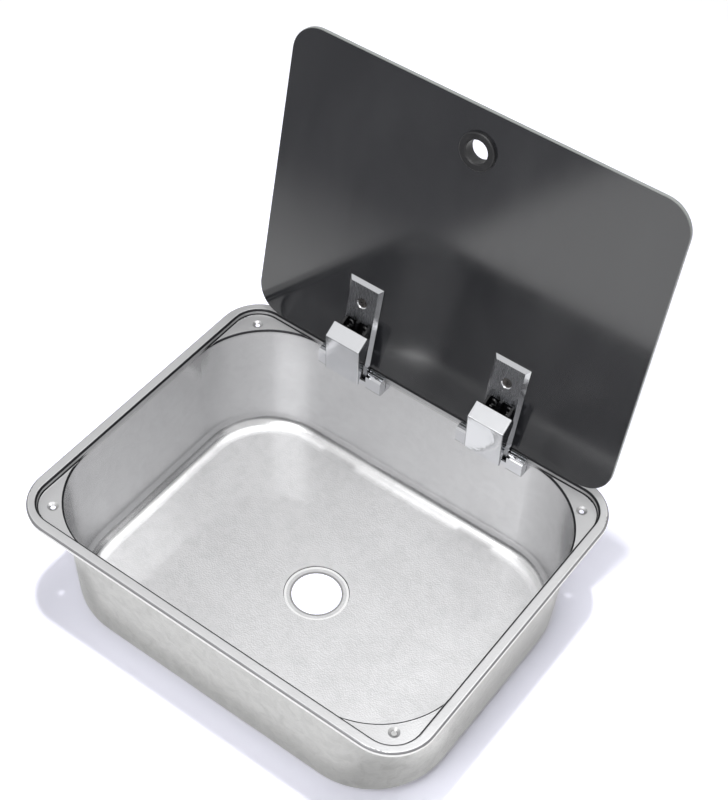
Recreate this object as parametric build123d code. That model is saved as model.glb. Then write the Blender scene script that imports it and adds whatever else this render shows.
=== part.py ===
from build123d import *
import math
import os

os.makedirs("parts", exist_ok=True)

# Sink, millimetres. z = 0 is the underside of the drain seat, X runs along the hinges.
rim_width = 420.0
rim_depth = 336.0
rim_corner = 42.0
rim_height = 134.0
steel = 0.8
flat_rim = 10.8
lip_drop = 4.6
lip_round = 2.2
edge_round = 2.4

ledge_drop = 5.65
ledge_round = 1.4
recess_corner = 27.0
mouth_corner = 81.0
mouth_round = 1.6
wall_inset = 5.5
floor_round = 16.0
seat_drop = 1.8
seat_radius = 30.7
drain_radius = 23.3

corner_hole_inset_x = 17.8
corner_hole_inset_y = 17.0
corner_hole_radius = 2.3
dimple_radius = 5.0
dimple_drop = 1.5

# Lid
lid_side_gap = 5.8
lid_front_gap = 1.55
lid_corner = 28.0
glass = 4.0
edge_bevel = 0.5
open_angle = 100.7
lid_rest_gap = 0.3
finger_edge = 38.3
finger_flange = 17.2
finger_flange_thick = 3.4
finger_bore = 10.4
finger_wall = 2.9
finger_gap = 0.2
ring_thick = 4.2

# Hinge base
hinge_inset = 39.9
pin_radius = 1.5
pin_clearance = 0.05
pin_drop = 5.0
lug_radius = 3.05
lug_wall_gap = 0.45
side_gap = 0.9
cheek_width = 16.5
base_thick = 9.2
base_rise = 0.4
base_drop = 19.8
web_drop = 10.2
web_height = 5.6
wall_pad = 0.5
base_screw_radius = 2.0
base_screw_drop = 13.0
base_screw_grip = 6.0
washer_thick = 0.8
washer_radius = 4.5

# Hinge leaf and what it holds
edge_setback = 9.35
leaf_width = 36.5
leaf_length = 87.0
leaf_thick = 3.6
leaf_bevel = 3.3
rail_width = 4.6
window_top = 44.5
leaf_pad = 0.5
leaf_screw_up = 65.0
leaf_screw_radius = 3.0
leaf_screw_head = 1.7
leaf_sink = 2.5
bush_radius = 5.6
disc_radius = 11.0
disc_thick = 3.8
seal_thick = 0.4
cap_wall = 1.4
cap_overhang = 0.45
cap_reach = 11.4
cap_foot = 18.0
cap_shoulder = 27.0
cap_shoulder_up = 30.2
cap_back = 15.9
cap_back_up = 41.1
carrier_start = 6.0
carrier_height = 12.6
carrier_rod = 1.5
spring_wire = 0.45
spring_mean = 2.5
spring_pitch = 1.4
spring_turns = 8
spring_leg = 27.0
spring_foot_depth = 2.6
same_body_gap = 0.03

# Heights and planes that follow from them
rim_top = rim_height
ledge_top = rim_top - ledge_drop
floor_top = seat_drop + steel
taper_top = ledge_top - mouth_round
mouth_x = rim_width / 2 - flat_rim
mouth_y = rim_depth / 2 - flat_rim
corner_hole_x = mouth_x - corner_hole_inset_x
corner_hole_y = mouth_y - corner_hole_inset_y
wall_taper = math.degrees(math.atan(wall_inset / (taper_top - floor_top)))
wall_rad = math.radians(wall_taper)

pin_y = mouth_y - lug_radius - lug_wall_gap
pin_z = rim_top - pin_drop
hinge_x = mouth_x - mouth_corner - hinge_inset
lid_back = pin_y - edge_setback
lid_width = 2 * (mouth_x - lid_side_gap)
lid_depth = lid_back + mouth_y - lid_front_gap
glass_level = pin_z - ledge_top - lid_rest_gap
open_rad = math.radians(open_angle)
up_y = -math.cos(open_rad)
up_z = math.sin(open_rad)
lid_plane = Plane(
    origin=(0, pin_y + edge_setback * up_y - glass_level * up_z,
            pin_z + edge_setback * up_z + glass_level * up_y),
    x_dir=(1, 0, 0), z_dir=(0, -up_z, up_y))

half_leaf = leaf_width / 2
window_half = half_leaf - rail_width
web_half = half_leaf + side_gap
half_base = web_half + cheek_width
base_front = mouth_y - wall_pad - base_thick
leaf_front = leaf_pad + leaf_thick
pin_v = -edge_setback
pin_n = -glass_level
base_screw_x = web_half + cheek_width / 2
finger_v = lid_depth - finger_edge


# Helpers: sections drawn in Y-Z and run along X, and round pieces
def bar(points, x_from, x_to):
    face = make_face(Plane.YZ * Polyline(*points, close=True))
    return Pos(x_from, 0, 0) * extrude(face, amount=x_to - x_from, dir=(1, 0, 0))


def box(x_from, x_to, y_from, y_to, z_from, z_to):
    low = (Align.MIN, Align.MIN, Align.MIN)
    return Pos(x_from, y_from, z_from) * Box(x_to - x_from, y_to - y_from, z_to - z_from, align=low)


def rod(radius, z_from, z_to, x=0.0, y=0.0):
    low = (Align.CENTER, Align.CENTER, Align.MIN)
    return Pos(x, y, z_from) * Cylinder(radius, z_to - z_from, align=low)


def x_rod(radius, x_from, x_to, y, z):
    low = (Align.CENTER, Align.CENTER, Align.MIN)
    return Pos(x_from, y, z) * Rot(0, 90, 0) * Cylinder(radius, x_to - x_from, align=low)


def rounded(width, depth, radius):
    return RectangleRounded(width, depth, radius)


def outline(grow, radius):
    return rounded(2 * (mouth_x + grow), 2 * (mouth_y + grow), radius + grow)


def prism(face, z_from, z_to):
    return Pos(0, 0, z_from) * extrude(face, amount=z_to - z_from)


def lowest(shape):
    return shape.edges().group_by(Axis.Z)[0]


def highest(shape):
    return shape.edges().group_by(Axis.Z)[-1]


def within(edges, grow):
    """The edges whose ends lie inside the mouth's outline, grown."""
    reach_x = mouth_x + grow + 0.5
    reach_y = mouth_y + grow + 0.5
    return [e for e in edges
            if all(abs(v.X) < reach_x and abs(v.Y) < reach_y for v in e.vertices())]


def wall_y(z):
    """The inner face of the back wall at a height."""
    return mouth_y - max(0.0, taper_top - z) * math.tan(wall_rad)


# The pressed sheet is the difference between the space above it and that space grown by the steel
def flare(grow):
    """The mouth's rounded edge, inside the outline of the corner ledges."""
    top = ledge_top - grow
    plate = prism(outline(10, mouth_corner), taper_top, top)
    plate -= prism(outline(grow, mouth_corner), taper_top, top)
    plate = fillet(within(highest(plate), grow), mouth_round - grow - 0.001)
    space = prism(outline(9, mouth_corner), taper_top, top) - plate
    return space & prism(outline(grow, recess_corner), taper_top, top)


def cavity(grow):
    low = ledge_top - grow
    recess = prism(outline(grow, recess_corner), low, rim_top + 1)
    recess = fillet(lowest(recess), ledge_round + grow)
    mouth = prism(outline(grow, mouth_corner), low - 0.1, ledge_top + ledge_round + 1)
    bowl = extrude(outline(grow, mouth_corner), amount=-(taper_top - floor_top + grow),
                   taper=wall_taper)
    bowl = Pos(0, 0, taper_top) * fillet(lowest(bowl), floor_round + grow)
    slab = prism(rounded(rim_width - 2 * lip_round, rim_depth - 2 * lip_round,
                         rim_corner - lip_round), rim_top - grow, rim_top + 9)
    upper = recess + slab
    edge = [e for e in upper.edges() if abs(e.center().Z - rim_top + grow) < 0.01]
    upper = fillet(within(edge, grow), edge_round - grow)
    return upper + mouth + flare(grow) + bowl + seat(grow) + dimples(grow)


def seat(grow):
    """The drain's seat, pressed down from the floor."""
    step = rod(seat_radius + grow, floor_top - seat_drop - grow, floor_top + 1)
    return fillet(lowest(step), 0.5 + grow)


def corner_spots():
    return [(sx * corner_hole_x, sy * corner_hole_y) for sx in (-1, 1) for sy in (-1, 1)]


def dimples(grow):
    """Countersinks pressed into the corner ledges."""
    cone = Cone(corner_hole_radius + grow, dimple_radius + grow, dimple_drop,
                align=(Align.CENTER, Align.CENTER, Align.MAX))
    spots = [Pos(x, y, ledge_top - grow) * cone for x, y in corner_spots()]
    return spots[0] + spots[1:]


def lip():
    """The rim's turned-down edge."""
    low = rim_top - lip_drop
    outer = prism(rounded(rim_width, rim_depth, rim_corner), low, rim_top)
    outer = fillet(highest(outer), lip_round)
    inner = prism(rounded(rim_width - 2 * steel, rim_depth - 2 * steel, rim_corner - steel),
                  low, rim_top - steel)
    inner = fillet(highest(inner), lip_round - steel)
    middle = prism(rounded(rim_width - 2 * lip_round, rim_depth - 2 * lip_round,
                           rim_corner - lip_round), low - 1, rim_top + 1)
    return outer - inner - middle


def wall_axes(x):
    """The two base screws of the hinge centred at x: on the back wall's outer face, outwards."""
    z = rim_top - base_screw_drop
    y = wall_y(z) + steel / math.cos(wall_rad)
    out = (0, math.cos(wall_rad), -math.sin(wall_rad))
    return [Plane(origin=(x + end * base_screw_x, y, z), x_dir=(1, 0, 0), z_dir=out)
            for end in (-1, 1)]


def sink_bowl():
    sheet = cavity(steel) - cavity(0.0) + lip()
    sheet -= rod(drain_radius, -1, floor_top + 1)
    for x, y in corner_spots():
        sheet -= rod(corner_hole_radius, ledge_top - 6, ledge_top + 1, x, y)
    for side in (-1, 1):
        for frame in wall_axes(side * hinge_x):
            sheet -= frame.location * rod(base_screw_radius + 0.2, -3, 3)
    return sheet


# Hinge base, drawn on the middle plane of one hinge
def back_face(z_from, z_to, off):
    """Points up the back wall, a distance in front of it."""
    knee = [(wall_y(taper_top) - off, taper_top)] if z_from < taper_top < z_to else []
    return [(wall_y(z_from) - off, z_from)] + knee + [(wall_y(z_to) - off, z_to)]


def cheek_section():
    """Flat back on the wall, three steps with ridges on top, a face that ends in a soft foot."""
    low = rim_top - base_drop
    top = rim_top + base_rise
    back = back_face(low, top - 0.5, wall_pad)
    y = base_front
    ridges = [(mouth_y - wall_pad - 0.5, top), (y + 7.1, top), (y + 6.8, top - 0.9),
              (y + 5.6, top - 0.9), (y + 5.3, top - 0.4), (y + 3.9, top - 0.4),
              (y + 3.6, top - 1.4), (y + 3.1, top - 1.4), (y + 2.8, top - 1.1),
              (y + 1.5, top - 1.3), (y + 0.6, top - 2.8), (y, top - 3.4)]
    return back + ridges + [(y, low + 3.0), (y + 0.9, low + 0.9), (y + 3.0, low)]


def web_section():
    top = rim_top - web_drop
    low = top - web_height
    return back_face(low - 0.3, top, wall_pad) + [(base_front, top), (base_front, low + 0.8),
                                                   (base_front + 0.8, low)]


def spring_span():
    """The coil's length along the pin: whole turns and the angle between the two legs."""
    return spring_pitch * (spring_turns + (open_angle - 90) / 360)


def hinge_base():
    web = bar(web_section(), -web_half, web_half)
    cheek = bar(cheek_section(), web_half, half_base)
    other = bar(cheek_section(), -half_base, -web_half)
    base = web + cheek + other
    base -= x_rod(pin_radius + same_body_gap, -half_base - 1, half_base + 1, pin_y, pin_z)
    hole = spring_wire + 0.15
    web_top = rim_top - web_drop
    base -= rod(hole, web_top - spring_foot_depth, web_top + 1, spring_span() / 2,
                pin_y - spring_mean)
    depth = steel + wall_pad + base_screw_grip + 0.5
    for frame in wall_axes(0.0):
        base -= frame.location * rod(base_screw_radius + same_body_gap, -depth, 0)
    return base


def base_pad():
    low = rim_top - base_drop + 0.6
    top = taper_top - 0.3
    points = back_face(low, top, 0.0) + back_face(low, top, wall_pad)[::-1]
    pad = bar(points, -half_base + 0.6, half_base - 0.6)
    for frame in wall_axes(0.0):
        pad -= frame.location * rod(base_screw_radius + 0.2, -4, 1)
    return pad


def base_screws():
    """Two screws that come in from behind the wall, as one group."""
    screws = []
    tip = -steel - wall_pad - base_screw_grip
    for frame in wall_axes(0.0):
        head = rod(washer_radius - 0.8, washer_thick, washer_thick + 2.4)
        head = fillet(highest(head), 1.2)
        head -= Pos(0, 0, washer_thick + 2.0) * Box(5, 1.0, 2.0)
        head -= Pos(0, 0, washer_thick + 2.0) * Box(1.0, 5, 2.0)
        screws.append(frame.location * (head + rod(base_screw_radius, tip, washer_thick + 0.1)))
    return Compound(children=screws)


def base_washers():
    ring = rod(washer_radius, 0, washer_thick) - rod(base_screw_radius + 0.1, -1, 2)
    return Compound(children=[frame.location * ring for frame in wall_axes(0.0)])


def hinge_pin():
    return x_rod(pin_radius, -half_base + 0.5, half_base - 0.5, pin_y, pin_z)


def wire_leg(coil_end, angle, length):
    """A straight leg of the spring, square to the pin, with a rounded joint to the coil."""
    turn = math.radians(angle)
    line = Plane(origin=coil_end, x_dir=(0, 0, 1), z_dir=(math.cos(turn), math.sin(turn), 0))
    low = (Align.CENTER, Align.CENTER, Align.MIN)
    return Pos(*coil_end) * Sphere(spring_wire) + line * Cylinder(spring_wire, length, align=low)


def torsion_spring():
    """A coil round the pin, with a long leg up the leaf and a short one down into the base."""
    begin = 270 - open_angle
    span = spring_span()
    path = Helix(spring_pitch, span, spring_mean)
    section = Plane(origin=path @ 0, z_dir=path % 0) * Circle(spring_wire)
    coil = Rot(0, 0, begin) * sweep(section, path=path)
    start = (spring_mean * math.cos(math.radians(begin)), spring_mean * math.sin(math.radians(begin)), 0)
    end = (-spring_mean, 0, span)
    drop = pin_z - (rim_top - web_drop - spring_foot_depth + 0.3)
    spring = coil + wire_leg(start, begin - 90, spring_leg) + wire_leg(end, 270, drop)
    across = Plane(origin=(-span / 2, pin_y, pin_z), x_dir=(0, 1, 0), z_dir=(1, 0, 0))
    return across * spring


# Lid pieces, in the lid's own frame: x, up the glass, and off its inside face
def on_lid(shape):
    return lid_plane.location * shape


def glass_lid():
    sheet = rounded(lid_width, lid_depth, lid_corner)
    pane = Pos(0, lid_depth / 2, -glass) * extrude(sheet, amount=glass)
    pane = chamfer(lowest(pane) + highest(pane), edge_bevel)
    pane -= rod(finger_bore + finger_wall + finger_gap, -glass - 1, 1, 0, finger_v)
    for side in (-1, 1):
        pane -= rod(bush_radius, -glass - 1, 1, side * hinge_x, leaf_screw_up)
    return pane


def finger_grommet():
    flange = rod(finger_flange, 0, finger_flange_thick, 0, finger_v)
    flange = fillet(highest(flange), 1.4)
    sleeve = rod(finger_bore + finger_wall, -glass - ring_thick, 0.5, 0, finger_v)
    bush = flange + sleeve - rod(finger_bore, -20, 20, 0, finger_v)
    mouth = [e for e in highest(bush) if e.radius < finger_bore + 1]
    return chamfer(mouth, 1.2)


def grommet_ring():
    ring = rod(finger_flange, -glass - ring_thick, -glass, 0, finger_v)
    ring = fillet(lowest(ring), 1.6)
    return ring - rod(finger_bore + finger_wall + same_body_gap, -20, 20, 0, finger_v)


def arm(x_from, x_to):
    """From the frame's foot down to the lug that turns on the pin."""
    strip = bar([(pin_v, pin_n - lug_radius + 0.1), (1.0, leaf_pad), (1.0, leaf_front),
                 (pin_v, pin_n + lug_radius - 0.1)], x_from, x_to)
    return strip + x_rod(lug_radius, x_from, x_to, pin_v, pin_n)


def hinge_leaf():
    """A frame with mitred bevels round its outside, open between its rails below the plate."""
    edge = leaf_thick - leaf_bevel
    spare = 10
    face = Rectangle(leaf_width, leaf_length + spare)
    middle = (leaf_length - spare) / 2
    slab = Pos(0, middle, leaf_pad) * extrude(face, amount=edge)
    slab += Pos(0, middle, leaf_pad + edge) * extrude(face, amount=leaf_bevel, taper=45)
    slab -= box(-half_leaf - 1, half_leaf + 1, -spare - 1, 0.4, -1, leaf_front + 1)
    slab -= box(-window_half, window_half, 0, window_top, -1, leaf_front + 1)
    leaf = slab + arm(-half_leaf, -window_half) + arm(window_half, half_leaf)
    leaf -= x_rod(pin_radius + pin_clearance, -half_leaf - 1, half_leaf + 1, pin_v, pin_n)
    leaf -= rod(leaf_screw_radius + 0.1, -1, 9, 0, leaf_screw_up)
    sink = Cone(leaf_screw_radius + 0.1, leaf_screw_radius + 0.1 + leaf_sink, leaf_sink,
                align=(Align.CENTER, Align.CENTER, Align.MAX))
    return leaf - Pos(0, leaf_screw_up, leaf_front) * sink


def leaf_gasket():
    inset = 0.4
    sheet = box(-half_leaf + inset, half_leaf - inset, 1.0, leaf_length - inset, 0, leaf_pad)
    sheet -= box(-window_half - inset, window_half + inset, -1, window_top + inset, -1, 2)
    return sheet - rod(leaf_screw_radius + 0.4, -1, 2, 0, leaf_screw_up)


def leaf_screw():
    head = Cone(leaf_screw_radius, leaf_screw_radius + leaf_screw_head, leaf_screw_head,
                align=(Align.CENTER, Align.CENTER, Align.MAX))
    top = leaf_front - leaf_sink + leaf_screw_head
    tip = -glass - seal_thick - disc_thick + 1.5
    screw = Pos(0, leaf_screw_up, top) * head
    screw += rod(leaf_screw_radius, tip, top - leaf_screw_head + 0.1, 0, leaf_screw_up)
    slot = Pos(0, leaf_screw_up, top) * Box(6, 1.0, 2.0)
    cross = Pos(0, leaf_screw_up, top) * Box(1.0, 6, 2.0)
    return screw - slot - cross


def glass_bush():
    tube = rod(bush_radius, -glass, 0, 0, leaf_screw_up)
    return tube - rod(leaf_screw_radius + 0.1, -9, 9, 0, leaf_screw_up)


def disc_seal():
    back = -glass
    ring = rod(disc_radius - 0.5, back - seal_thick, back, 0, leaf_screw_up)
    return ring - rod(leaf_screw_radius + 0.2, -20, 20, 0, leaf_screw_up)


def outer_disc():
    back = -glass - seal_thick
    disc = rod(disc_radius, back - disc_thick, back, 0, leaf_screw_up)
    disc = fillet(lowest(disc), 1.6)
    return disc - rod(leaf_screw_radius + same_body_gap, back - disc_thick + 1.2, 20, 0,
                      leaf_screw_up)


def hinge_cap():
    """A bent hood: a long front, a short top and two cheeks."""
    half = half_leaf + cap_overhang
    side = [(-cap_reach, cap_foot), (cap_shoulder_up, cap_shoulder), (cap_back_up, cap_back),
            (cap_back_up - 3.5, cap_back - 4.6), (cap_back_up - 9, cap_back - 5.6),
            (20, cap_foot - 4.6), (-cap_reach, cap_foot - 1.6)]
    hood = bar(side, -half, half)
    rounded_edges = [e for e in hood.edges() if e.center().Z > cap_foot + 0.5
                     and e.center().Y < cap_back_up - 0.2]
    hood = fillet(rounded_edges, 1.0)
    lean = math.atan2(cap_shoulder - cap_foot, cap_shoulder_up + cap_reach)
    drop = cap_wall / math.cos(lean)
    slope = math.atan2(cap_back_up - cap_shoulder_up, cap_shoulder - cap_back)
    inner_up = (cap_shoulder_up - cap_wall * math.cos(slope) + 0.2, cap_shoulder - drop - 0.6)
    inner_back = (cap_back_up - cap_wall / math.cos(slope), cap_back)
    hollow = [(-cap_reach - 1, cap_foot - drop - 0.25), inner_up, inner_back,
              (cap_back_up - 2, 0), (-cap_reach - 1, 0)]
    return hood - bar(hollow, -half + cap_wall, half - cap_wall)


def spring_carrier():
    """The dark block in the leaf's window: a floor, two side plates, a rod that holds the cap."""
    half = window_half - 0.1
    low = leaf_pad + 0.1
    top = window_top
    floor = bar([(carrier_start, low), (top, low), (top, 1.5), (carrier_start, 1.5)], -half, half)
    side = [(carrier_start, low), (top, low), (top, 6.0), (top - 5, carrier_height),
            (carrier_start + 6, carrier_height), (carrier_start, 8.0)]
    block = floor + bar(side, half - 2.2, half) + bar(side, -half, -half + 2.2)
    grip = half_leaf + cap_overhang - cap_wall
    block += x_rod(carrier_rod, -grip, grip, cap_back_up - 8, carrier_height - 0.2)
    block += x_rod(carrier_rod, -half, half, carrier_start + 10, 6.5)
    return block + box(-1.4, 1.4, top - 12, top, low, 7.0)


def save(shape, name):
    solids = shape.solids()
    shape.label = name
    export_step(shape, f"parts/{name}.step")
    print(name, len(solids), [round(s.volume, 1) for s in solids[:4]])


base_pieces = [(hinge_base, "hinge_base"), (base_pad, "base_pad"), (hinge_pin, "hinge_pin"),
               (base_screws, "base_screws"), (base_washers, "base_washers"),
               (torsion_spring, "torsion_spring")]
leaf_pieces = [(hinge_leaf, "hinge_leaf"), (leaf_gasket, "leaf_gasket"), (leaf_screw, "leaf_screw"),
               (glass_bush, "glass_bush"), (disc_seal, "disc_seal"), (outer_disc, "outer_disc"),
               (spring_carrier, "spring_carrier"), (hinge_cap, "hinge_cap")]

save(sink_bowl(), "sink_bowl")
save(on_lid(glass_lid()), "glass_lid")
save(on_lid(finger_grommet()), "finger_grommet")
save(on_lid(grommet_ring()), "grommet_ring")

for side, x in (("left", -hinge_x), ("right", hinge_x)):
    for make, name in base_pieces:
        save(Pos(x, 0, 0) * make(), f"{name}_{side}")
    for make, name in leaf_pieces:
        save(on_lid(Pos(x, 0, 0) * make()), f"{name}_{side}")
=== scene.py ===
import math
import bpy
from mathutils import Matrix, Vector


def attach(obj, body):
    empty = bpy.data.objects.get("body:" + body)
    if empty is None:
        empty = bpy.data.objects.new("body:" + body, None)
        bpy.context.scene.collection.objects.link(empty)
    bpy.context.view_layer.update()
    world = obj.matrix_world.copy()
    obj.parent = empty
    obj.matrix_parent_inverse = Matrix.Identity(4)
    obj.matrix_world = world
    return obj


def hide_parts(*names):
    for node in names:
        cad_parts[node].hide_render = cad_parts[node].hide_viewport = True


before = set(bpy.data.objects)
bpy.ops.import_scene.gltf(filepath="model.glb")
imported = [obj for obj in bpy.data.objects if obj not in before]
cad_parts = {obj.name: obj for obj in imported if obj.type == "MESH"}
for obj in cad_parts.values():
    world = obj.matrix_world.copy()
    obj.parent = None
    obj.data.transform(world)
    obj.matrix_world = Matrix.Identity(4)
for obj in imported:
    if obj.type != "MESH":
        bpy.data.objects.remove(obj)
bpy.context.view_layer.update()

print("frame loaded:", len(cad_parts), "nodes")


def srgb(hexCode):  # hex to linear
    parts = [int(hexCode[i:i + 2], 16) / 255 for i in (1, 3, 5)]
    return tuple(p / 12.92 if p <= 0.04045 else ((p + 0.055) / 1.055) ** 2.4 for p in parts) + (1.0,)


def addNode(tree, kind, inputs=(), **settings):
    # inputs go in by name or in order, and a node given as one stands for its first live output
    new = tree.nodes.new(kind)
    for name, value in settings.items():
        setattr(new, name, value)
    if isinstance(inputs, dict):
        pairs = [(new.inputs[name], value) for name, value in inputs.items()]
    else:
        pairs = zip([socket for socket in new.inputs if socket.enabled], inputs)
    for socket, value in pairs:
        if isinstance(value, bpy.types.Node):
            value = next(output for output in value.outputs if output.enabled)
        if isinstance(value, bpy.types.NodeSocket):
            tree.links.new(value, socket)
        else:
            socket.default_value = value
    return new


def newMaterial(name):
    material = bpy.data.materials.new(name)
    material.use_nodes = True
    material.node_tree.nodes.clear()
    return material, material.node_tree


def setMaterial(material, *nodes):
    for name in nodes:
        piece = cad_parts[name]
        piece.data.materials.clear()
        piece.data.materials.append(material)


def bothSides(*names):
    return [f"{name}_{side}" for name in names for side in ("left", "right")]


smoothAngle = 0.7                    # radians, edges sharper than this stay crisp
lidFace = (0.0, -0.98261, 0.18567)   # the way that the glass's inside face looks with the lid open
lidBack = (0.0, 0.98261, -0.18567)   # and its outside face

# camera in front on the right, looking down into the bowl as the photo does; angles in degrees
cameraSettings = {
    "place": (0.531176, -0.729854, 1.279792),
    "azimuth": 33.574,
    "elevation": 49.045,
    "roll": 3.712,
    "lens": 75.795,
    "sensor": 36,
    "shiftX": -0.0070,
    "shiftY": 0.0332,
}


def makeCamera(s):
    az, el, roll = (math.radians(s[k]) for k in ("azimuth", "elevation", "roll"))
    back = Vector((math.sin(az) * math.cos(el), -math.cos(az) * math.cos(el), math.sin(el)))
    right = Vector((math.cos(az), math.sin(az), 0))
    up = back.cross(right)
    tiltedRight = math.cos(roll) * right + math.sin(roll) * up
    tiltedUp = -math.sin(roll) * right + math.cos(roll) * up
    data = bpy.data.cameras.new("photoCamera")
    data.lens = s["lens"]
    data.sensor_width = s["sensor"]
    data.shift_x = s["shiftX"]
    data.shift_y = s["shiftY"]
    camera = bpy.data.objects.new("photoCamera", data)
    bpy.context.scene.collection.objects.link(camera)
    turn = Matrix((tiltedRight, tiltedUp, back)).transposed().to_4x4()
    camera.matrix_world = Matrix.Translation(s["place"]) @ turn
    bpy.context.scene.camera = camera


makeCamera(cameraSettings)
print("camera set")

# studio: white paper under the sink, a small lamp high above it, soft boxes over the lid and in front
studio = {
    "paperSize": 9,                    # metres, as all places and sizes here
    "paper": "#e8e8ec",
    "paperSeen": (1.36, 1.36, 1.52),   # the paper for the camera, past white and cool as in the photo
    "paperMirrored": (1.30, 1.30, 1.31),
    "paperUnlit": "#a4a4a8",           # a shaded corner of it, seen only in the lid
    "unlitLeft": (-0.27, -0.32),
    "unlitFront": (-0.19, -0.46),
    "paperFades": (0.65, 1.10),        # from here to here it goes over into the room's white
    "roomLight": 0.12,
    "roomSeen": 1.0,
    "flagPlace": (-1.08, 1.64, 2.26),  # dim wall high behind the lid
    "flagRadius": 1.1,
    "flagSides": 48,
    "flagGrey": "#808084",
    "aim": (0.0, 0.0, 0.1),
    "lamps": [
        {"name": "highLamp", "place": (0.0, 0.0, 6.0), "size": 0.25, "power": 104},
        {"name": "topBox", "place": (0.20, 0.46, 2.10), "size": 1.4, "power": 20},
        {"name": "frontBox", "place": (0.05, -1.60, 1.87), "size": 1.6, "power": 21},
    ],
}


def seenRays(tree):
    # 1 for the camera, mirrors and glass, 0 for light that falls on things
    path = addNode(tree, "ShaderNodeLightPath")
    seen = path.outputs["Is Camera Ray"]
    for kind in ("Is Transmission Ray", "Is Glossy Ray"):
        seen = addNode(tree, "ShaderNodeMath", [seen, path.outputs[kind]], operation="MAXIMUM")
    return seen


def makeSweep(s):
    bpy.ops.object.select_all(action="DESELECT")
    bpy.ops.mesh.primitive_plane_add(size=s["paperSize"], location=(0, 0, 0))
    sweep = bpy.context.object
    sweep.name = "paperSweep"
    material, tree = newMaterial("whiteSweepPaper")
    at = addNode(tree, "ShaderNodeTexCoord").outputs["Object"]
    axes = addNode(tree, "ShaderNodeSeparateXYZ", [at])
    path = addNode(tree, "ShaderNodeLightPath")
    leftward = addNode(tree, "ShaderNodeMapRange", [axes.outputs["X"], *s["unlitLeft"]])
    forward = addNode(tree, "ShaderNodeMapRange", [axes.outputs["Y"], *s["unlitFront"]])
    corner = addNode(tree, "ShaderNodeMath", [leftward, forward], operation="MULTIPLY")
    unlit = addNode(tree, "ShaderNodeMath", [corner, path.outputs["Is Glossy Ray"]],
                    operation="MULTIPLY")
    sheet = addNode(tree, "ShaderNodeMix", [path.outputs["Is Camera Ray"], (*s["paperMirrored"], 1),
                    (*s["paperSeen"], 1)], data_type="RGBA")
    sheet = addNode(tree, "ShaderNodeMix", [unlit, sheet, srgb(s["paperUnlit"])], data_type="RGBA")
    plain = addNode(tree, "ShaderNodeBsdfDiffuse", {"Color": srgb(s["paper"])})
    bright = addNode(tree, "ShaderNodeBsdfDiffuse", {"Color": sheet})
    paper = addNode(tree, "ShaderNodeMixShader", [seenRays(tree), plain, bright])
    distance = addNode(tree, "ShaderNodeVectorMath", [at], operation="LENGTH")
    faded = addNode(tree, "ShaderNodeMapRange", [distance, *s["paperFades"]])
    far = addNode(tree, "ShaderNodeMath", [faded, path.outputs["Is Camera Ray"]],
                  operation="MULTIPLY")
    white = addNode(tree, "ShaderNodeEmission", {"Color": (1, 1, 1, 1), "Strength": s["roomSeen"]})
    surface = addNode(tree, "ShaderNodeMixShader", [far, paper, white])
    addNode(tree, "ShaderNodeOutputMaterial", {"Surface": surface})
    sweep.data.materials.append(material)


def makeRoom(s):
    world = bpy.data.worlds.new("studioRoom")
    bpy.context.scene.world = world
    world.use_nodes = True
    tree = world.node_tree
    tree.nodes.clear()
    strength = addNode(tree, "ShaderNodeMapRange", {"Value": seenRays(tree), "To Min": s["roomLight"],
                       "To Max": s["roomSeen"]})
    sky = addNode(tree, "ShaderNodeBackground", {"Color": (1, 1, 1, 1), "Strength": strength})
    addNode(tree, "ShaderNodeOutputWorld", {"Surface": sky})


def makeFlag(s):
    bpy.ops.object.select_all(action="DESELECT")
    bpy.ops.mesh.primitive_circle_add(vertices=s["flagSides"], radius=s["flagRadius"],
                                      fill_type="NGON")
    flag = bpy.context.object
    flag.name = "greyFlag"
    turn = Vector(s["flagPlace"]).to_track_quat("Z", "Y").to_matrix().to_4x4()
    flag.data.transform(Matrix.Translation(s["flagPlace"]) @ turn)
    material, tree = newMaterial("greyFlagCloth")
    cloth = addNode(tree, "ShaderNodeBsdfDiffuse", {"Color": srgb(s["flagGrey"])})
    addNode(tree, "ShaderNodeOutputMaterial", {"Surface": cloth})
    flag.data.materials.append(material)


def makeLamps(s):
    for lamp in s["lamps"]:
        data = bpy.data.lights.new(lamp["name"], "AREA")
        data.shape = "DISK"
        data.size = lamp["size"]
        data.energy = lamp["power"]
        thing = bpy.data.objects.new(lamp["name"], data)
        bpy.context.scene.collection.objects.link(thing)
        thing.location = lamp["place"]
        aim = Vector(s["aim"]) - Vector(lamp["place"])
        thing.rotation_euler = aim.to_track_quat("-Z", "Y").to_euler()


makeSweep(studio)
makeRoom(studio)
makeFlag(studio)
makeLamps(studio)
print("studio lit")

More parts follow.
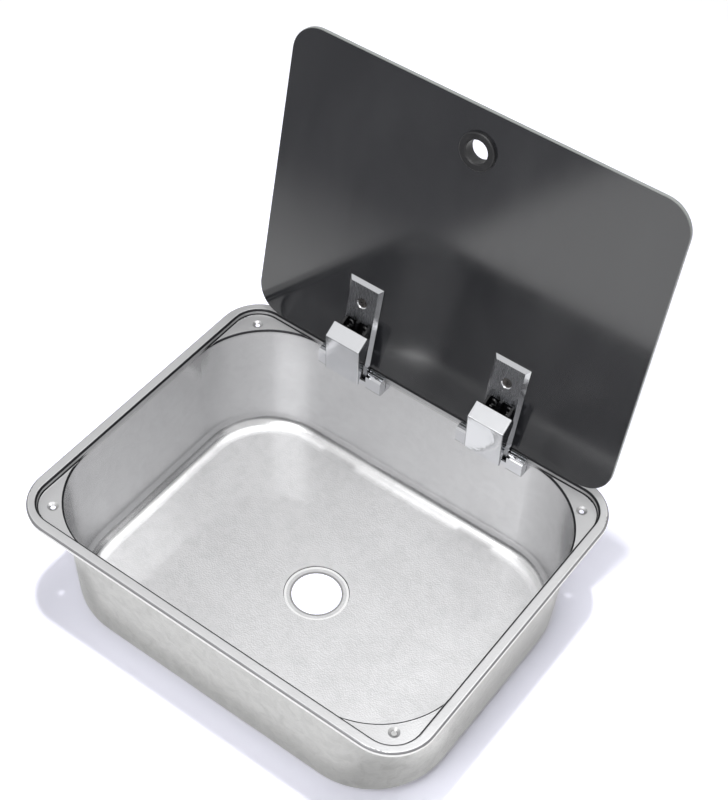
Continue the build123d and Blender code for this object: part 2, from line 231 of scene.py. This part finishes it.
# each pair of heights, distances or slopes is where a zone starts and where it is full, in metres;
# sizes of clouds, patches and linen are in millimetres
bowlSteel = {
    "wall": "#cacacb",
    "wallCloud": "#c4c4c5",        # faint clouds left by the drawing oil
    "floor": "#c6c6c7",            # wiped satin, a little deeper
    "floorCloud": "#bdbdbe",
    "rim": "#b7b7b8",              # rim and ledges, wiped less bright than the floor
    "outer": "#bbbbba",            # outside of the bowl, left as drawn
    "outerStain": "#acacab",       # dried press oil on it
    "lipHighlight": "#e2e2e2",          # painted highlight on the turned-down edge
    "lipBendShade": "#868688",          # painted shade along the outer turn of the rim
    "bendShade": "#2e2e30",             # painted shade in the tight bends of rim and ledges
    "seat": "#dedede",             # painted highlight on the shoulder of the drain seat
    "cut": "#8c8c8c",              # its punched edge
    "cloudSize": 11.0,
    "cloudRange": (0.4, 0.7),
    "floorBelow": (0.0040, 0.0015),
    "drawnAbove": (0.0030, 0.0060),
    "drawnBelow": (0.1285, 0.1270),
    "rimAbove": (0.1240, 0.1262),
    "lipAbove": (0.1285, 0.1292),
    "bendAbove": (0.1225, 0.1245),
    "bendSteep": (0.10, 0.32),     # slopes, as the share of the normal that points up
    "bendFlat": (0.985, 0.93),
    "outward": (0.02, 0.08),       # the outside of the bowl, by how much its face looks outward
    "seatWithin": (0.0360, 0.0345),
    "cutWithin": (0.0253, 0.0246),
    "shoulderHighlight": (0.0290, 0.0011),  # middle and half width
    "ledgeHole": (0.1814, 0.1402, 0.1268),
    "holeClear": (0.0055, 0.0065),
    "holeShare": 0.25,             # of the painted bend shade, left in the dimple
    "mirrorShare": 0.09,           # flats of the rolled surface that still mirror
    "mirrorRough": 0.09,
    "satinRough": (0.52, 0.62),
    "drawnRough": 0.24,            # walls and curves, burnished by the die
    "patchSize": 55.0,
    "patchRange": (0.35, 0.65),
    "linenPitch": 1.7,             # the real linen is about 0.8 mm, drawn coarser so that it shows
    "linenDepth": 0.34,
    "linenHeight": 0.0004,
    "linenRandom": 0.7,
    "drawnLinen": 0.3,             # share of the linen left on the drawn walls
}


def paintedBendShade(s, tree, place, height, radius):
    # painted shade: 1 in the tight bends of rim, ledges and drain seat, less in the screw dimples
    up = addNode(tree, "ShaderNodeSeparateXYZ", [place.outputs["Normal"]]).outputs["Z"]
    steep = addNode(tree, "ShaderNodeMapRange", [up, *s["bendSteep"]])
    flat = addNode(tree, "ShaderNodeMapRange", [up, *s["bendFlat"]])
    slope = addNode(tree, "ShaderNodeMath", [steep, flat], operation="MULTIPLY")
    rim = addNode(tree, "ShaderNodeMapRange", [height, *s["bendAbove"]])
    seat = addNode(tree, "ShaderNodeMapRange", [radius, *s["seatWithin"]])
    zone = addNode(tree, "ShaderNodeMath", [rim, seat], operation="MAXIMUM")
    bendShade = addNode(tree, "ShaderNodeMath", [slope, zone], operation="MULTIPLY")
    quarter = addNode(tree, "ShaderNodeVectorMath", [place.outputs["Object"]], operation="ABSOLUTE")
    fromHole = addNode(tree, "ShaderNodeVectorMath", [quarter, s["ledgeHole"]], operation="DISTANCE")
    dimple = addNode(tree, "ShaderNodeMapRange", [fromHole, *s["holeClear"], s["holeShare"]])
    return addNode(tree, "ShaderNodeMath", [bendShade, dimple], operation="MULTIPLY")


def sheetTones(s, tree, at, height):
    # colour of the sheet inside and outside, by height, with a painted highlight on the turned-down
    # edge
    oil = addNode(tree, "ShaderNodeTexNoise", {"Vector": at, "Scale": 1000 / s["cloudSize"],
                  "Detail": 5.0, "Roughness": 0.6, "Distortion": 0.8})
    cloud = addNode(tree, "ShaderNodeMapRange", [oil, *s["cloudRange"]])
    wall, floor, outer = (addNode(tree, "ShaderNodeMix", [cloud, srgb(s[clean]), srgb(s[clouded])],
                                  data_type="RGBA")
                          for clean, clouded in (("wall", "wallCloud"), ("floor", "floorCloud"),
                                                 ("outer", "outerStain")))
    low = addNode(tree, "ShaderNodeMapRange", [height, *s["floorBelow"]])
    high = addNode(tree, "ShaderNodeMapRange", [height, *s["rimAbove"]])
    # painted highlight band on the turned-down edge of the rim
    lip = addNode(tree, "ShaderNodeMapRange", [height, *s["lipAbove"]])
    inner = addNode(tree, "ShaderNodeMix", [low, wall, floor], data_type="RGBA")
    inner = addNode(tree, "ShaderNodeMix", [high, inner, srgb(s["rim"])], data_type="RGBA")
    outer = addNode(tree, "ShaderNodeMix", [lip, outer, srgb(s["lipHighlight"])], data_type="RGBA")
    return inner, outer


def bowlTone(s, tree, place, height):
    # the sheet's colour, with painted shade in its bends and on the outer turn of the rim, its
    # outside, the punched edge of the drain seat and a painted highlight ring on its shoulder
    at = place.outputs["Object"]
    inner, outer = sheetTones(s, tree, at, height)
    level = (1.0, 1.0, 0.0)  # leaves the height out
    sideways, flatPlace = (
        addNode(tree, "ShaderNodeVectorMath", [way, level], operation="MULTIPLY")
        for way in (place.outputs["Normal"], at))
    outward = addNode(tree, "ShaderNodeVectorMath", [sideways, at], operation="DOT_PRODUCT")
    outside = addNode(tree, "ShaderNodeMapRange", [outward, *s["outward"]])
    radius = addNode(tree, "ShaderNodeVectorMath", [flatPlace], operation="LENGTH")
    # painted shade for the bends: near black inside, a lighter painted dark line on the outer turn of
    # the rim
    bendShadeTone = addNode(tree, "ShaderNodeMix", [outside, srgb(s["bendShade"]), srgb(s["lipBendShade"])],
                       data_type="RGBA")
    bendShade = paintedBendShade(s, tree, place, height, radius)
    cut = addNode(tree, "ShaderNodeMapRange", [radius, *s["cutWithin"]])
    # painted highlight ring on the drain seat's shoulder
    shoulderHighlight = addNode(tree, "ShaderNodeMath", [radius, *s["shoulderHighlight"]], operation="COMPARE")
    tone = inner
    for share, over in ((outside, outer), (bendShade, bendShadeTone), (cut, srgb(s["cut"])),
                        (shoulderHighlight, srgb(s["seat"]))):
        tone = addNode(tree, "ShaderNodeMix", [share, tone, over], data_type="RGBA")
    return tone


def satinSteel(s):
    # stainless, bright annealed and deep drawn: a linen-fine satin over a weak mirror
    material, tree = newMaterial("satinStainlessDrawn")
    place = addNode(tree, "ShaderNodeTexCoord")
    at = place.outputs["Object"]
    height = addNode(tree, "ShaderNodeSeparateXYZ", [at]).outputs["Z"]
    patch = addNode(tree, "ShaderNodeTexNoise", {"Vector": at, "Scale": 1000 / s["patchSize"],
                    "Detail": 4.0, "Roughness": 0.6})
    wiped = addNode(tree, "ShaderNodeMapRange", [patch, *s["patchRange"], *s["satinRough"]])
    above = addNode(tree, "ShaderNodeMapRange", [height, *s["drawnAbove"]])
    below = addNode(tree, "ShaderNodeMapRange", [height, *s["drawnBelow"]])
    drawn = addNode(tree, "ShaderNodeMath", [above, below], operation="MULTIPLY")
    rough = addNode(tree, "ShaderNodeMapRange", {"Value": drawn, "To Min": wiped,
                    "To Max": s["drawnRough"]})
    linen = addNode(tree, "ShaderNodeTexVoronoi", {"Vector": at, "Scale": 1000 / s["linenPitch"],
                    "Randomness": s["linenRandom"]})
    depth = addNode(tree, "ShaderNodeMapRange", {"Value": drawn, "To Min": s["linenDepth"],
                    "To Max": s["linenDepth"] * s["drawnLinen"]})
    bump = addNode(tree, "ShaderNodeBump", {"Height": linen, "Strength": depth,
                   "Distance": s["linenHeight"]})
    tone = bowlTone(s, tree, place, height)
    mirror = addNode(tree, "ShaderNodeBsdfPrincipled", {"Base Color": tone, "Metallic": 1.0,
                     "Roughness": s["mirrorRough"]})
    satin = addNode(tree, "ShaderNodeBsdfPrincipled", {"Base Color": tone, "Metallic": 1.0,
                    "Roughness": rough, "Normal": bump})
    steel = addNode(tree, "ShaderNodeMixShader", [s["mirrorShare"], satin, mirror])
    addNode(tree, "ShaderNodeOutputMaterial", {"Surface": steel})
    return material


setMaterial(satinSteel(bowlSteel), "sink_bowl")
print("bowl steel set")

lidGlass = {
    "tint": "#202125",         # body of the smoked glass against a white room
    "haze": "#303134",         # wiping film on the inside face
    "ground": "#8d918f",       # ground edge, pale and a little green
    "groundRough": 0.30,
    "faceRough": (0.085, 0.13),
    "edgeFrom": (0.97, 0.60),  # by how squarely the face looks along lidFace
    "wipeSize": 60.0,          # millimetres
    "wipeTurn": (0.0, 0.35, 0.0),
    "wipeStretch": (1.0, 1.0, 0.35),
    "fleckPitch": 2.4,
    "fleckShare": 0.18,
    "filmRange": (0.42, 0.82),
    "smearRange": (0.3, 0.7),
    "ior": 1.82,               # strong mirror of glass seen over a dark body
}


def smokedGlass(s):
    # tempered smoked float glass: dark body, wiped film that greys it, ground edge that catches light
    material, tree = newMaterial("smokedTemperedGlass")
    place = addNode(tree, "ShaderNodeTexCoord")
    at = place.outputs["Object"]
    stretched = addNode(tree, "ShaderNodeMapping", {"Vector": at, "Rotation": s["wipeTurn"],
                        "Scale": s["wipeStretch"]})
    wipe = addNode(tree, "ShaderNodeTexNoise", {"Vector": stretched, "Scale": 1000 / s["wipeSize"],
                   "Detail": 5.0, "Roughness": 0.55, "Distortion": 0.6})
    fleck = addNode(tree, "ShaderNodeTexNoise", {"Vector": at, "Scale": 1000 / s["fleckPitch"],
                    "Detail": 1.0})
    flecked = addNode(tree, "ShaderNodeMath", [fleck, s["fleckShare"], wipe],
                      operation="MULTIPLY_ADD")
    film = addNode(tree, "ShaderNodeMapRange", [flecked, *s["filmRange"]])
    face = addNode(tree, "ShaderNodeMix", [film, srgb(s["tint"]), srgb(s["haze"])],
                   data_type="RGBA")
    facing = addNode(tree, "ShaderNodeVectorMath", [place.outputs["Normal"], lidFace],
                     operation="DOT_PRODUCT")
    flat = addNode(tree, "ShaderNodeMath", [facing], operation="ABSOLUTE")
    edge = addNode(tree, "ShaderNodeMapRange", [flat, *s["edgeFrom"]])
    tone = addNode(tree, "ShaderNodeMix", [edge, face, srgb(s["ground"])], data_type="RGBA")
    smear = addNode(tree, "ShaderNodeMapRange", [wipe, *s["smearRange"], *s["faceRough"]])
    rough = addNode(tree, "ShaderNodeMapRange", {"Value": edge, "To Min": smear,
                    "To Max": s["groundRough"]})
    glass = addNode(tree, "ShaderNodeBsdfPrincipled", {"Base Color": tone, "Roughness": rough,
                    "IOR": s["ior"]})
    addNode(tree, "ShaderNodeOutputMaterial", {"Surface": glass})
    return material


setMaterial(smokedGlass(lidGlass), "glass_lid")
print("glass set")

hingeChrome = {
    "bright": "#c3c4c7",   # thin chrome over polished zinc
    "brushed": "#8e8f92",  # front of the leaf, brushed along its length
    "blasted": "#d4d5d8",  # top of the cap
    "brightRough": (0.05, 0.09),
    "hazeScale": 110.0,    # about 9 mm to a cloud of it
    "hazeRange": (0.3, 0.7),
    "peelSize": 7.0,       # soft waves of the casting under the plating
    "peelDepth": 0.00005,
    "hairPitch": 0.9,
    "hairStretch": (1.0, 0.05, 0.05),
    "hairSpread": 0.13,    # how much smoother and rougher the satin is than its middle
    "satinFrom": (0.95, 0.985),
}


def platedZinc(s, name, satin, satinRough, satinNormal, lean):
    # die-cast zinc under chrome: mirror with slow waves, and one face that is satin with hairlines
    material, tree = newMaterial(name)
    place = addNode(tree, "ShaderNodeTexCoord")
    at = place.outputs["Object"]
    along = addNode(tree, "ShaderNodeMapping", {"Vector": at, "Scale": s["hairStretch"]})
    hair = addNode(tree, "ShaderNodeTexNoise", {"Vector": along, "Scale": 1000 / s["hairPitch"],
                   "Detail": 3.0})
    facing = addNode(tree, "ShaderNodeVectorMath", [place.outputs["Normal"], satinNormal],
                     operation="DOT_PRODUCT")
    isSatin = addNode(tree, "ShaderNodeMapRange", [facing, *s["satinFrom"]])
    haze = addNode(tree, "ShaderNodeTexNoise", {"Vector": at, "Scale": s["hazeScale"],
                   "Detail": 4.0, "Roughness": 0.6})
    bright = addNode(tree, "ShaderNodeMapRange", [haze, *s["hazeRange"], *s["brightRough"]])
    dull = addNode(tree, "ShaderNodeMapRange", [hair, *s["hazeRange"],
                   satinRough * (1 - s["hairSpread"]), satinRough * (1 + s["hairSpread"])])
    rough = addNode(tree, "ShaderNodeMapRange", {"Value": isSatin, "To Min": bright, "To Max": dull})
    tone = addNode(tree, "ShaderNodeMix", [isSatin, srgb(s["bright"]), srgb(satin)],
                   data_type="RGBA")
    peel = addNode(tree, "ShaderNodeTexNoise", {"Vector": at, "Scale": 1000 / s["peelSize"],
                   "Detail": 1.0})
    wave = addNode(tree, "ShaderNodeMath", [peel, s["peelDepth"]], operation="MULTIPLY")
    up = addNode(tree, "ShaderNodeSeparateXYZ", [at]).outputs["Z"]
    slope = addNode(tree, "ShaderNodeMath", [up, -lean, wave], operation="MULTIPLY_ADD")
    bump = addNode(tree, "ShaderNodeBump", {"Height": slope, "Strength": 1.0, "Distance": 1.0})
    plate = addNode(tree, "ShaderNodeBsdfPrincipled", {"Base Color": tone, "Metallic": 1.0,
                    "Roughness": rough, "Normal": bump})
    addNode(tree, "ShaderNodeOutputMaterial", {"Surface": plate})
    return material


# name, node, tone of its satin face, that face's roughness and direction, and how far its mirror leans
for name, node, satin, satinRough, satinNormal, lean in (
        ("brushedChromeLeaf", "hinge_leaf", "brushed", 0.26, lidFace, 0.0),
        ("polishedChromeCap", "hinge_cap", "blasted", 0.20, (0, -0.5633, 0.8263), 0.06),
        ("polishedChromeBase", "hinge_base", "bright", 0.12, (0, -1, 0), 0.0),
        ("polishedChromeDisc", "outer_disc", "bright", 0.12, lidBack, 0.0)):
    setMaterial(platedZinc(hingeChrome, name, hingeChrome[satin], satinRough, satinNormal, lean),
                *bothSides(node))
print("hinge chrome set")

blackPlastic = {
    "nylon": "#131315",
    "filled": "#0b0b0d",
    "rubber": "#1b1b1d",
    "dust": "#3c3c40",
    "dustRange": (0.4, 0.8),
    "dustShare": 0.25,
    "sparkPitch": 1.1,  # spark-eroded mould skin, drawn coarse
    "sparkHeight": 0.0003,
    "rubScale": 90.0,   # about 11 mm to a patch
    "rubRange": (0.35, 0.65),
    "rubSpread": 0.2,   # how much smoother and rougher than the middle
}


def mouldedPlastic(s, name, colour, roughness, skinDepth):
    # moulded black: spark-eroded skin, rubbed a little smoother in patches
    material, tree = newMaterial(name)
    at = addNode(tree, "ShaderNodeTexCoord").outputs["Object"]
    grain = addNode(tree, "ShaderNodeTexNoise", {"Vector": at, "Scale": 1000 / s["sparkPitch"],
                    "Detail": 3.0, "Roughness": 0.65})
    rubbed = addNode(tree, "ShaderNodeTexNoise", {"Vector": at, "Scale": s["rubScale"],
                     "Detail": 2.0})
    rough = addNode(tree, "ShaderNodeMapRange", [rubbed, *s["rubRange"],
                    roughness * (1 - s["rubSpread"]), roughness * (1 + s["rubSpread"])])
    dust = addNode(tree, "ShaderNodeMapRange", [grain, *s["dustRange"], 0.0, s["dustShare"]])
    tone = addNode(tree, "ShaderNodeMix", [dust, srgb(colour), srgb(s["dust"])], data_type="RGBA")
    bump = addNode(tree, "ShaderNodeBump", {"Height": grain, "Strength": skinDepth,
                   "Distance": s["sparkHeight"]})
    skin = addNode(tree, "ShaderNodeBsdfPrincipled", {"Base Color": tone, "Roughness": rough,
                   "Normal": bump})
    addNode(tree, "ShaderNodeOutputMaterial", {"Surface": skin})
    return material


setMaterial(mouldedPlastic(blackPlastic, "mouldedBlackNylon", blackPlastic["nylon"], 0.42, 0.25),
            "finger_grommet", "grommet_ring")
hookNylon = mouldedPlastic(blackPlastic, "filledBlackNylon", blackPlastic["filled"], 0.16, 0.15)
setMaterial(hookNylon, *bothSides("spring_carrier"))
setMaterial(mouldedPlastic(blackPlastic, "pressedSheetRubber", blackPlastic["rubber"], 0.75, 0.5),
            *bothSides("base_pad", "leaf_gasket", "disc_seal"))
print("plastics set")

smallSteel = {
    "turned": "#a5a6a9",
    "screwShade": "#4c4d51",  # leaf screws, painted dark for the shade of the hole they sit in
    "wire": "#77787c",
    "oil": "#86807a",
    "oilScale": 240.0,       # about 4 mm to a smear
    "oilRange": (0.3, 0.7),
    "oilSpread": 0.3,
    "toolPitch": 0.5,        # turning marks
    "toolDepth": 0.3,
    "toolHeight": 0.00015,
}


def workedSteel(s, name, colour, roughness, stretch):
    # turned or drawn steel: fine tool marks in one direction, a trace of oil
    material, tree = newMaterial(name)
    at = addNode(tree, "ShaderNodeTexCoord").outputs["Object"]
    turned = addNode(tree, "ShaderNodeMapping", {"Vector": at, "Scale": stretch})
    marks = addNode(tree, "ShaderNodeTexNoise", {"Vector": turned, "Scale": 1000 / s["toolPitch"],
                    "Detail": 2.0})
    oil = addNode(tree, "ShaderNodeTexNoise", {"Vector": at, "Scale": s["oilScale"], "Detail": 3.0})
    rough = addNode(tree, "ShaderNodeMapRange", [oil, *s["oilRange"],
                    roughness * (1 - s["oilSpread"]), roughness * (1 + s["oilSpread"])])
    tone = addNode(tree, "ShaderNodeMix", [oil, srgb(colour), srgb(s["oil"])], data_type="RGBA")
    bump = addNode(tree, "ShaderNodeBump", {"Height": marks, "Strength": s["toolDepth"],
                   "Distance": s["toolHeight"]})
    metal = addNode(tree, "ShaderNodeBsdfPrincipled", {"Base Color": tone, "Metallic": 1.0,
                    "Roughness": rough, "Normal": bump})
    addNode(tree, "ShaderNodeOutputMaterial", {"Surface": metal})
    return material


setMaterial(workedSteel(smallSteel, "turnedSteelPin", smallSteel["turned"], 0.25, (1.0, 0.1, 0.1)),
            *bothSides("hinge_pin"))
setMaterial(workedSteel(smallSteel, "zincPlatedScrew", smallSteel["turned"], 0.32, (0.3, 1.0, 0.3)),
            *bothSides("base_screws", "base_washers"))
# leaf screws get a dark tone that paints the shade of their holes
setMaterial(workedSteel(smallSteel, "shadedLeafScrew", smallSteel["screwShade"], 0.34, (0.3, 1.0, 0.3)),
            *bothSides("leaf_screw"))
springWire = workedSteel(smallSteel, "drawnSpringWire", smallSteel["wire"], 0.35, (1.0, 0.2, 0.2))
setMaterial(springWire, *bothSides("torsion_spring"))
print("small steel set")

bushNylon = {
    "colour": "#d9d8cf",
    "flow": "#c4c2b4",
    "flowSize": 4.0,
    "rough": (0.336, 0.504),
    "scatter": 0.15,
}


def naturalNylon(s):
    # unfilled nylon 6: milky, with faint flow clouds from the mould
    material, tree = newMaterial("naturalNylonSleeve")
    at = addNode(tree, "ShaderNodeTexCoord").outputs["Object"]
    flow = addNode(tree, "ShaderNodeTexNoise", {"Vector": at, "Scale": 1000 / s["flowSize"],
                   "Detail": 3.0, "Distortion": 1.0})
    tone = addNode(tree, "ShaderNodeMix", [flow, srgb(s["colour"]), srgb(s["flow"])],
                   data_type="RGBA")
    rough = addNode(tree, "ShaderNodeMapRange", [flow, 0.0, 1.0, *s["rough"]])
    skin = addNode(tree, "ShaderNodeBsdfPrincipled", {"Base Color": tone, "Roughness": rough,
                   "Subsurface Weight": s["scatter"]})
    addNode(tree, "ShaderNodeOutputMaterial", {"Surface": skin})
    return material


setMaterial(naturalNylon(bushNylon), *bothSides("glass_bush"))
print("materials assigned")

# up is measured along the glass from its foot, off is measured out of its inside face
capFittings = {
    "lidOrigin": (0.0, 0.155092, 0.138252),  # foot of the glass, middle of its inside face
    "lidLean": 10.7,
    "hingeX": 0.0783,
    "clipSides": (-0.0069, 0.0107),
    "clipUp": 0.0372,
    "clipOff": 0.0096,
    "clipSize": (0.0028, 0.0034, 0.0009),
    "clipLeg": (0.0, -0.0012, -0.0016),      # bent down and in, from the lower edge
    "clipRound": 0.0002,
    "clipBend": -0.9,                        # faces that look this far down the glass carry the leg
    "hookSides": (-0.0060, 0.0098),
    "hookUp": 0.0420,
    "hookOff": 0.0078,
    "hookRadius": 0.0027,
    "hookWire": 0.0009,
    "hookSegments": (40, 14),
    "hookCut": -0.0006,                      # the ring is open past this
    "hookTail": (-0.0008, 0, 0),             # its open ends go on straight
}


def toLid(piece, x, up, off):
    lean = math.radians(capFittings["lidLean"])
    along = Vector((0, math.sin(lean), math.cos(lean)))
    out = Vector((0, -math.cos(lean), math.sin(lean)))
    turn = Matrix((Vector((1, 0, 0)), along, out)).transposed().to_4x4()
    place = Vector(capFittings["lidOrigin"]) + Vector((x, 0, 0)) + along * up + out * off
    piece.data.transform(Matrix.Translation(place) @ turn)


def makeClip(name, x):
    # bent spring tab that holds the hood down on the block's rod
    s = capFittings
    bpy.ops.object.select_all(action="DESELECT")
    bpy.ops.mesh.primitive_cube_add(size=1)
    clip = bpy.context.object
    clip.name = name
    clip.data.transform(Matrix.Diagonal((*s["clipSize"], 1)))
    bpy.ops.object.mode_set(mode="EDIT")
    bpy.ops.mesh.select_all(action="DESELECT")
    bpy.ops.object.mode_set(mode="OBJECT")
    for face in clip.data.polygons:
        face.select = face.normal.y < s["clipBend"]
    bpy.ops.object.mode_set(mode="EDIT")
    bpy.ops.mesh.extrude_region_move(TRANSFORM_OT_translate={"value": s["clipLeg"]})
    bpy.ops.mesh.select_all(action="SELECT")
    bpy.ops.mesh.normals_make_consistent(inside=False)
    bpy.ops.object.mode_set(mode="OBJECT")
    rounding = clip.modifiers.new("pressedEdge", "BEVEL")
    rounding.width = s["clipRound"]
    rounding.segments = 3
    bpy.ops.object.modifier_apply(modifier=rounding.name)
    toLid(clip, x, s["clipUp"], s["clipOff"])
    clip.data.materials.append(clipSteel)
    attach(clip, "lid")


def makeHook(name, x):
    # moulded hook of the black block, open towards the rail
    s = capFittings
    bpy.ops.object.select_all(action="DESELECT")
    along, across = s["hookSegments"]
    bpy.ops.mesh.primitive_torus_add(major_radius=s["hookRadius"], minor_radius=s["hookWire"],
                                     major_segments=along, minor_segments=across)
    hook = bpy.context.object
    hook.name = name
    bpy.ops.object.mode_set(mode="EDIT")
    bpy.ops.mesh.select_all(action="DESELECT")
    bpy.ops.object.mode_set(mode="OBJECT")
    for corner in hook.data.vertices:
        corner.select = corner.co.x < s["hookCut"]
    bpy.ops.object.mode_set(mode="EDIT")
    bpy.ops.mesh.delete(type="VERT")
    bpy.ops.mesh.select_all(action="DESELECT")
    bpy.ops.mesh.select_mode(type="EDGE")
    bpy.ops.mesh.select_non_manifold()
    bpy.ops.mesh.fill_holes(sides=0)
    bpy.ops.mesh.extrude_region_move(TRANSFORM_OT_translate={"value": s["hookTail"]})
    bpy.ops.mesh.select_all(action="SELECT")
    bpy.ops.mesh.normals_make_consistent(inside=False)
    bpy.ops.object.mode_set(mode="OBJECT")
    bpy.ops.object.shade_smooth_by_angle(angle=smoothAngle)
    toLid(hook, x, s["hookUp"], s["hookOff"])
    hook.data.materials.append(hookNylon)
    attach(hook, "lid")


clipSteel = workedSteel(smallSteel, "pressedClipSteel", smallSteel["turned"], 0.22, (1.0, 0.3, 0.3))
for side, middle in (("left", -capFittings["hingeX"]), ("right", capFittings["hingeX"])):
    for number in (0, 1):
        makeClip(f"capClip_{side}_{number + 1}", middle + capFittings["clipSides"][number])
        makeHook(f"blockHook_{side}_{number + 1}", middle + capFittings["hookSides"][number])
print("cap clips and hooks made")

coiledSpring = {
    "pinPlace": (0.1537, 0.1290),  # the pin's middle, Y and Z
    "coilMean": 0.0025,
    "wire": 0.00045,
    "pitch": 0.0014,
    "turns": 8,
    "footAngle": 180.0,            # round the pin, from +Y towards +Z
    "armAngle": 169.3,
    "travel": 100.7,               # the arm's share of the coil, wound in as the lid shuts
    "overlap": 6.0,                # how far the arm's share goes on inside the coil's
    "wireSides": 12,
    "ballRings": 8,
    "stepAngle": 12,               # degrees of coil to a step
    "armLength": 0.0266,
    "footLength": 0.00705,
}


def windWire(name, begin, sweep, left):
    # a stretch of the coil round the pin, with closed ends
    s = coiledSpring
    bpy.ops.object.select_all(action="DESELECT")
    bpy.ops.mesh.primitive_circle_add(vertices=s["wireSides"], radius=s["wire"],
                                      location=(0, s["coilMean"], 0))
    wire = bpy.context.object
    wire.name = name
    bpy.ops.object.transform_apply(location=True, rotation=True, scale=True)
    winding = wire.modifiers.new("winding", "SCREW")
    winding.axis = "X"
    winding.angle = math.radians(sweep)
    winding.screw_offset = s["pitch"] * sweep / 360
    winding.iterations = 1
    winding.steps = round(sweep / s["stepAngle"])
    winding.render_steps = winding.steps
    winding.use_merge_vertices = False
    bpy.ops.object.modifier_apply(modifier=winding.name)
    bpy.ops.object.mode_set(mode="EDIT")
    bpy.ops.mesh.select_all(action="SELECT")
    bpy.ops.mesh.fill_holes(sides=0)
    bpy.ops.mesh.normals_make_consistent(inside=False)
    bpy.ops.object.mode_set(mode="OBJECT")
    turn = Matrix.Rotation(math.radians(begin), 4, "X")
    wire.data.transform(Matrix.Translation((left, *s["pinPlace"])) @ turn)
    return wire


def addLeg(wire, angle, left, length, lean):
    # straight leg with a rounded bend and tip, added to the same wire
    s = coiledSpring
    turn = math.radians(angle)
    foot = Vector((left, *s["pinPlace"]))
    foot += Vector((0, math.cos(turn), math.sin(turn))) * s["coilMean"]
    along = Vector((0, -math.sin(lean), math.cos(lean))) * length
    bpy.ops.object.mode_set(mode="EDIT")
    bpy.ops.mesh.primitive_cylinder_add(vertices=s["wireSides"], radius=s["wire"], depth=abs(length),
                                        location=foot + along / 2, rotation=(lean, 0, 0))
    for end in (foot, foot + along):
        bpy.ops.mesh.primitive_uv_sphere_add(segments=s["wireSides"], ring_count=s["ballRings"],
                                             radius=s["wire"], location=end)
    bpy.ops.object.mode_set(mode="OBJECT")


def makeSpring(side, middle):
    # two lengths of one wire: the coil stays on the pin, its arm goes up with the leaf
    s = coiledSpring
    whole = 360 * s["turns"] + s["footAngle"] - s["armAngle"]
    left = middle - s["pitch"] * whole / 720
    inner = left + s["pitch"] * s["travel"] / 360
    coil = windWire(f"springCoil_{side}", s["armAngle"] + s["travel"], whole - s["travel"], inner)
    addLeg(coil, s["footAngle"], left + s["pitch"] * whole / 360, -s["footLength"], 0.0)
    arm = windWire(f"springArm_{side}", s["armAngle"], s["travel"] + s["overlap"], left)
    addLeg(arm, s["armAngle"], left, s["armLength"], math.radians(s["armAngle"] - 180))
    for piece, body in ((coil, "sink"), (arm, "lid")):
        bpy.ops.object.select_all(action="DESELECT")
        bpy.context.view_layer.objects.active = piece
        piece.select_set(True)
        bpy.ops.object.shade_smooth_by_angle(angle=smoothAngle)
        piece.data.materials.append(springWire)
        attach(piece, body)
    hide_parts(f"torsion_spring_{side}")


for side, middle in (("left", -capFittings["hingeX"]), ("right", capFittings["hingeX"])):
    makeSpring(side, middle)
print("springs wound")

bpy.context.scene.view_settings.view_transform = "Standard"
